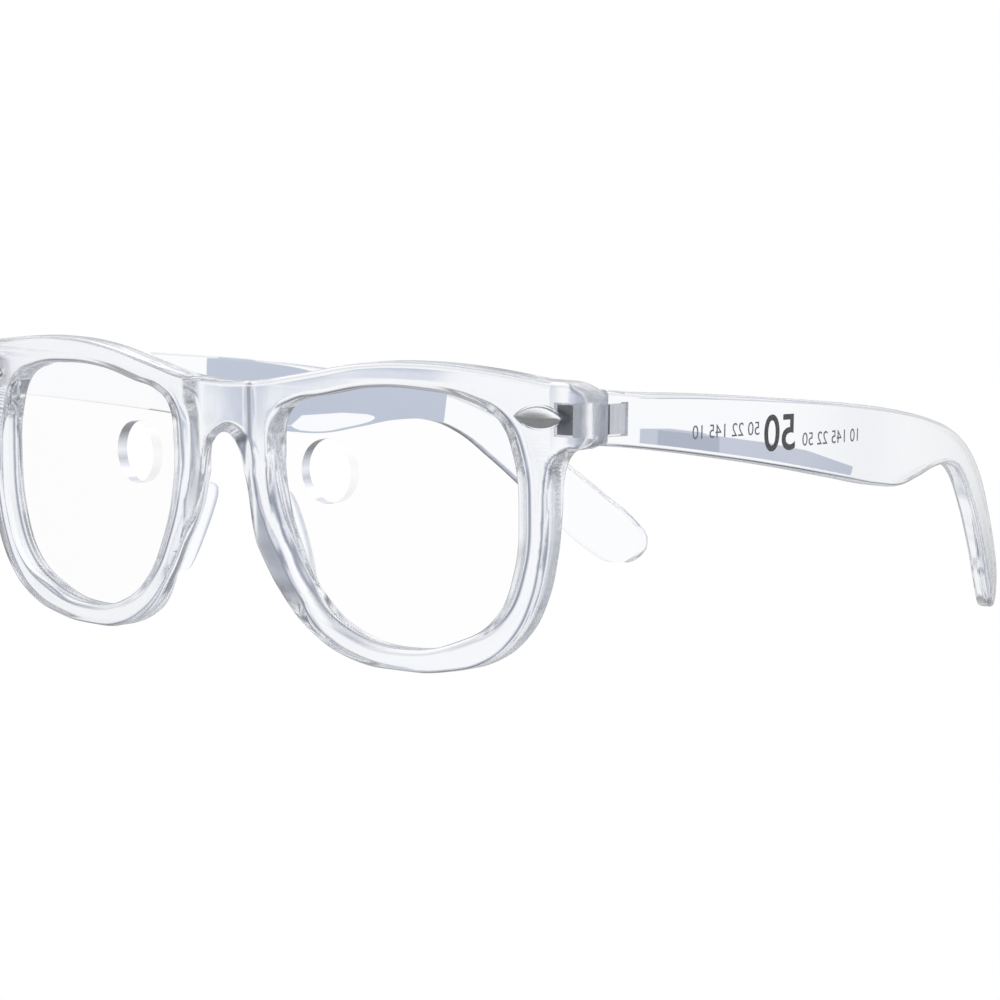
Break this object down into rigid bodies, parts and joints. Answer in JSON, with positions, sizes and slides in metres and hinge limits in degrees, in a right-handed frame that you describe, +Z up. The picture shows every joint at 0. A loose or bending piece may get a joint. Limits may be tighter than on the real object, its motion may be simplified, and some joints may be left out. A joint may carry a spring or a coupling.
{
  "type": "eye drop guide glasses",
  "caption": "Clear plastic glasses with a round drop port in each lens, folding temples on screwed hinges, silver studs and nose pads",
  "frame": {"origin": "On the table plane, midway between the sides and midway between the bridge face and the temple tips, with the temples open", "axes": "+X to the wearer's left, +Y from the front back to the temple tips, +Z up; the front leans 2.2 degrees forward at its top and each rim turns back 5.5 degrees"},
  "size_m": [0.1462, 0.1467, 0.0471],
  "materials": {
    "clear_plastic": "clear, polished",
    "lens_plastic": "clear, polished, no tint",
    "pad_plastic": "clear, slightly frosted",
    "satin_metal": "satin silver",
    "steel": "plain stainless"
  },
  "bodies": {
    "front": {"frame_front": "clear_plastic", "lens_left": "lens_plastic", "lens_right": "lens_plastic", "hinge_front_left": "steel", "hinge_front_right": "steel", "hinge_screw_left": "steel", "hinge_screw_right": "steel", "stud_left": "satin_metal", "stud_right": "satin_metal", "nose_pad_left": "pad_plastic", "nose_pad_right": "pad_plastic"},
    "left_temple": {"temple_left": "clear_plastic", "hinge_temple_left": "steel"},
    "right_temple": {"temple_right": "clear_plastic", "hinge_temple_right": "steel"}
  },
  "joints": [
    {"name": "left_temple_fold", "type": "hinge", "parent": "front", "child": "left_temple", "pos_m": [0.0677, -0.0607, 0.0398], "axis": [0, 0, 1], "range_deg": [0, 80]},
    {"name": "right_temple_fold", "type": "hinge", "parent": "front", "child": "right_temple", "pos_m": [-0.0677, -0.0607, 0.0398], "axis": [0, 0, -1], "range_deg": [0, 74]}
  ]
}
